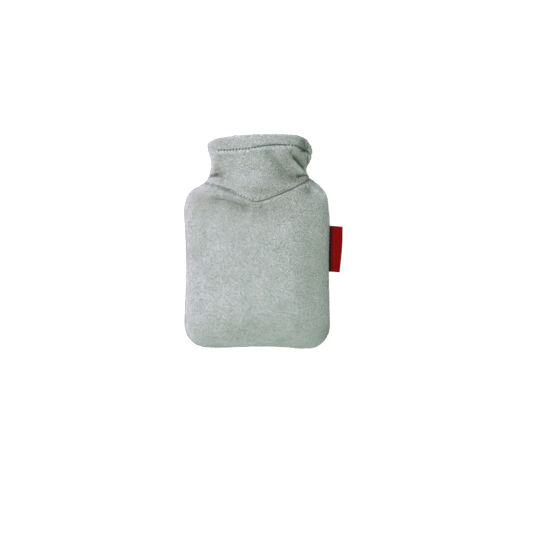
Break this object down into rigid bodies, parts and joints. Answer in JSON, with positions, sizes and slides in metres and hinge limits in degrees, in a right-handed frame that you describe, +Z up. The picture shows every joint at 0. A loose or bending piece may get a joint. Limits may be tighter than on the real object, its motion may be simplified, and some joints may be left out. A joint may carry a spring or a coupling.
{
  "type": "hot water bottle cover",
  "caption": "Hollow velour cover for a small hot water bottle, with a broad collar, a pointed yoke seam and a folded tab in its side seam.",
  "frame": {"origin": "middle of the flat patch of the back that the cover rests on, 62 mm above the body's bottom edge", "axes": "X to the right and Y towards the collar as the front is looked at, Z up from the surface, out of the front"},
  "size_m": [0.1222, 0.1647, 0.0301],
  "materials": {
    "velour": "short soft pile, matt, pale sage grey",
    "woven_tape": "tight weave, deep red, faint sheen"
  },
  "bodies": {
    "root": {"body_front": "velour", "body_back": "velour", "collar_front": "velour", "collar_back": "velour", "woven_tab": "woven_tape"}
  },
  "joints": []
}
